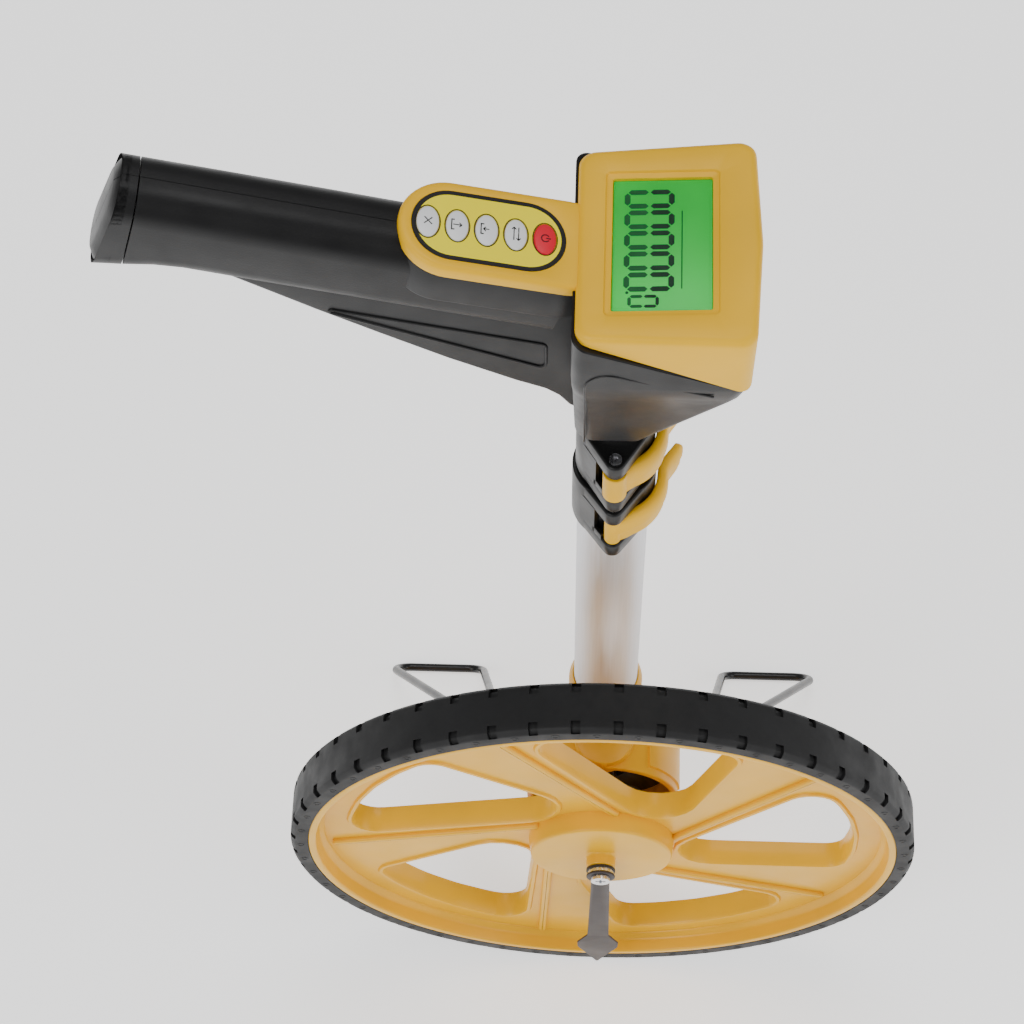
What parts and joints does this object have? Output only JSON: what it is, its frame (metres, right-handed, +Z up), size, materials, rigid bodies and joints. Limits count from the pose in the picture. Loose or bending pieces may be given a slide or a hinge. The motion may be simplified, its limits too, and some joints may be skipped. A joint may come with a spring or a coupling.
{
  "type": "measuring wheel",
  "caption": "Walking distance wheel with spoked yellow wheel, telescopic pole with flip-lock clamps, fold-up wire stand, and pistol-grip head with lit display and keypad.",
  "frame": {"origin": "the point where the tyre meets the ground, in the wheel's middle plane", "axes": "+X walking direction, with the grip pointing to -X; +Y from the wheel to the pole; +Z up along the pole"},
  "size_m": [0.3658, 0.1928, 0.6462],
  "materials": {
    "yellow_abs": "satin moulded",
    "tyre_rubber": "matt",
    "bearing_steel": "ground",
    "zinc_steel": "zinc plated",
    "aluminium": "satin anodised",
    "black_abs": "fine texture",
    "pointer_steel": "matt dark grey",
    "stand_wire": "black dipped",
    "magnet": "bonded ferrite",
    "circuit_board": "solder mask",
    "washer_black": "matt",
    "clear_window": "clear",
    "green_display": "backlit",
    "lemon_film": "printed film",
    "silicone": "matt",
    "white_key": "printed film",
    "red_key": "printed film",
    "cell_jacket": "printed sleeve",
    "contact_brass": "plated",
    "lever_nylon": "moulded",
    "cable_pvc": "matt"
  },
  "bodies": {
    "frame": {"axle": "bearing_steel", "bearing_spacer": "bearing_steel", "front_washer": "washer_black", "front_spacer": "zinc_steel", "axle_end_screw": "zinc_steel", "bracket_housing": "yellow_abs", "sensor_carrier": "black_abs", "sensor_board": "circuit_board", "carrier_screws": "zinc_steel", "rear_cover": "black_abs", "cover_screws": "zinc_steel", "housing_top_screw": "zinc_steel", "lower_tube": "aluminium", "lower_clamp": "black_abs", "lower_lever_pin": "bearing_steel", "signal_cable": "cable_pvc"},
    "wheel": {"wheel_rim": "yellow_abs", "wheel_spokes": "yellow_abs", "wheel_hub": "yellow_abs", "tyre": "tyre_rubber", "wheel_bearings": "bearing_steel", "magnet_ring": "magnet"},
    "pointer": {"pointer": "pointer_steel"},
    "stand": {"stand_shaft": "stand_wire", "stand_collars": "black_abs", "left_stand_leg": "stand_wire", "right_stand_leg": "stand_wire"},
    "mid_stage": {"mid_tube": "aluminium", "mid_guide_bush": "black_abs", "upper_clamp": "black_abs", "upper_lever_pin": "bearing_steel"},
    "head": {"upper_tube": "aluminium", "upper_guide_bush": "black_abs", "left_handle_shell": "black_abs", "right_handle_shell": "black_abs", "shell_screws": "zinc_steel", "top_cover": "yellow_abs", "display_lens": "clear_window", "display_module": "green_display", "main_board": "circuit_board", "keypad_panel": "lemon_film", "keypad_pad": "silicone", "keypad_board": "circuit_board", "battery_tray": "black_abs", "battery_cells": "cell_jacket", "battery_contacts": "contact_brass"},
    "lower_lever": {"lower_lever": "lever_nylon"},
    "upper_lever": {"upper_lever": "lever_nylon"},
    "power_key": {"power_key": "red_key"},
    "unit_key": {"unit_key": "white_key"},
    "store_key": {"store_key": "white_key"},
    "recall_key": {"recall_key": "white_key"},
    "clear_key": {"clear_key": "white_key"},
    "battery_cap": {"battery_cap": "black_abs"}
  },
  "joints": [
    {"name": "wheel_spin", "type": "hinge", "parent": "frame", "child": "wheel", "pos_m": [0, 0, 0.15915], "axis": [0, 1, 0], "continuous": true},
    {"name": "pointer_swing", "type": "hinge", "parent": "frame", "child": "pointer", "pos_m": [0, 0, 0.15915], "axis": [0, 1, 0], "continuous": true},
    {"name": "stand_fold", "type": "hinge", "parent": "frame", "child": "stand", "pos_m": [0, 0.0635, 0.143], "axis": [1, 0, 0], "range_deg": [0, 140]},
    {"name": "lower_slide", "type": "slide", "parent": "frame", "child": "mid_stage", "axis": [0, 0, 1], "range_m": [0, 0.2]},
    {"name": "upper_slide", "type": "slide", "parent": "mid_stage", "child": "head", "axis": [0, 0, 1], "range_m": [0, 0.2]},
    {"name": "lower_lever_open", "type": "hinge", "parent": "frame", "child": "lower_lever", "pos_m": [0, 0.041, 0.418], "axis": [0, 0, -1], "range_deg": [0, 100]},
    {"name": "upper_lever_open", "type": "hinge", "parent": "mid_stage", "child": "upper_lever", "pos_m": [0, 0.041, 0.459], "axis": [0, 0, -1], "range_deg": [0, 100]},
    {"name": "battery_cap_pull", "type": "slide", "parent": "head", "child": "battery_cap", "axis": [-0.9646, 0, 0.2639], "range_m": [0, 0.03]},
    {"name": "power_press", "type": "slide", "parent": "head", "child": "power_key", "axis": [-0.2317, 0, -0.9728], "range_m": [0, 0.0008], "stiffness_N_per_m": 900, "springref_m": -0.0004},
    {"name": "unit_press", "type": "slide", "parent": "head", "child": "unit_key", "axis": [-0.2317, 0, -0.9728], "range_m": [0, 0.0008], "stiffness_N_per_m": 900, "springref_m": -0.0004},
    {"name": "store_press", "type": "slide", "parent": "head", "child": "store_key", "axis": [-0.2317, 0, -0.9728], "range_m": [0, 0.0008], "stiffness_N_per_m": 900, "springref_m": -0.0004},
    {"name": "recall_press", "type": "slide", "parent": "head", "child": "recall_key", "axis": [-0.2317, 0, -0.9728], "range_m": [0, 0.0008], "stiffness_N_per_m": 900, "springref_m": -0.0004},
    {"name": "clear_press", "type": "slide", "parent": "head", "child": "clear_key", "axis": [-0.2317, 0, -0.9728], "range_m": [0, 0.0008], "stiffness_N_per_m": 900, "springref_m": -0.0004}
  ]
}
